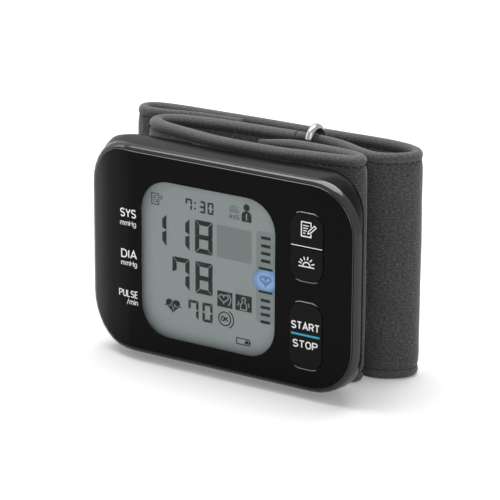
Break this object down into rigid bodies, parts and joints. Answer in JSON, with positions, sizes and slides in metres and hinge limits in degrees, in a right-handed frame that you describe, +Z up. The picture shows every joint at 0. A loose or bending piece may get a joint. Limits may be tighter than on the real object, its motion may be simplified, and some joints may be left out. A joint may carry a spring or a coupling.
{
  "type": "wrist blood pressure monitor",
  "caption": "Slim wrist blood pressure monitor with display, keys, air pump and cells in a two-shell case, on a padded cuff folded flat and threaded through a ring.",
  "frame": {"origin": "middle of the bounding box, at the level of the cuff's lower edge", "axes": "+X to the right along the front face, +Y from the front face towards the back of the cuff, +Z up"},
  "size_m": [0.0966, 0.0418, 0.0714],
  "materials": {
    "panel_gloss": "polished",
    "case_satin": "satin",
    "key_satin": "satin",
    "clear_window": "clear",
    "display_glass": "matt grey-green",
    "white_plastic": "matt",
    "circuit_board": "solder mask",
    "key_film": "smooth",
    "component_black": "matt",
    "shield_can": "smooth",
    "steel": "plated",
    "motor_can": "smooth",
    "blue_light": "diffusing",
    "cell_jacket": "foil",
    "contact_brass": "plated",
    "grey_plastic": "matt",
    "soft_tube": "silicone",
    "soft_rubber": "matt",
    "cuff_fabric": "woven melange",
    "hook_tape": "hook tape",
    "ring_chrome": "polished"
  },
  "bodies": {
    "monitor": {"front_panel": "panel_gloss", "front_case": "case_satin", "rear_case": "case_satin", "case_screw_1": "steel", "case_screw_2": "steel", "case_screw_3": "steel", "case_screw_4": "steel", "display_lens": "clear_window", "lcd_panel": "display_glass", "lcd_frame": "white_plastic", "lcd_connector": "soft_rubber", "position_light": "blue_light", "memory_dome": "steel", "morning_dome": "steel", "start_stop_dome": "steel", "key_sheet": "key_film", "main_board": "circuit_board", "processor": "component_black", "radio_module": "shield_can", "buzzer": "component_black", "pressure_sensor": "grey_plastic", "battery_cell_1": "cell_jacket", "battery_cell_2": "cell_jacket", "battery_spring_1": "steel", "battery_spring_2": "steel", "link_contact": "contact_brass", "positive_contact": "contact_brass", "negative_contact": "contact_brass", "pump_motor": "motor_can", "pump_head": "grey_plastic", "valve_body": "grey_plastic", "air_manifold": "grey_plastic", "pump_tube": "soft_tube", "valve_tube": "soft_tube", "sensor_tube": "soft_tube", "cuff_plate": "case_satin", "cuff_body": "cuff_fabric", "curler_sheet": "grey_plastic", "air_bladder": "soft_rubber", "cuff_strap": "cuff_fabric", "hook_tongue": "hook_tape", "ring_tab": "cuff_fabric"},
    "memory_key": {"memory_key": "key_satin"},
    "morning_key": {"morning_key": "key_satin"},
    "start_stop_key": {"start_stop_key": "key_satin"},
    "battery_cover": {"battery_cover": "case_satin"},
    "pump_rotor": {"pump_rotor": "contact_brass"},
    "valve_plunger": {"valve_plunger": "steel"},
    "strap_ring": {"strap_ring": "ring_chrome"}
  },
  "joints": [
    {"name": "memory_key_press", "type": "slide", "parent": "monitor", "child": "memory_key", "axis": [0, 1, 0], "range_m": [0, 0.0004], "stiffness_N_per_m": 2500},
    {"name": "morning_key_press", "type": "slide", "parent": "monitor", "child": "morning_key", "axis": [0, 1, 0], "range_m": [0, 0.0004], "stiffness_N_per_m": 2500},
    {"name": "start_stop_key_press", "type": "slide", "parent": "monitor", "child": "start_stop_key", "axis": [0, 1, 0], "range_m": [0, 0.0004], "stiffness_N_per_m": 2500},
    {"name": "battery_cover_slide", "type": "slide", "parent": "monitor", "child": "battery_cover", "axis": [1, 0, 0], "range_m": [0, 0.012]},
    {"name": "pump_rotor_spin", "type": "hinge", "parent": "monitor", "child": "pump_rotor", "pos_m": [-0.03323, -0.01251, 0.0341], "axis": [0, 0, 1], "continuous": true},
    {"name": "valve_plunger_slide", "type": "slide", "parent": "monitor", "child": "valve_plunger", "axis": [0, 0, 1], "range_m": [-0.0008, 0], "stiffness_N_per_m": 500},
    {"name": "strap_ring_swing", "type": "hinge", "parent": "monitor", "child": "strap_ring", "pos_m": [0.01397, 0.00829, 0.0341], "axis": [0, 0, 1], "range_deg": [-8, 8]}
  ]
}
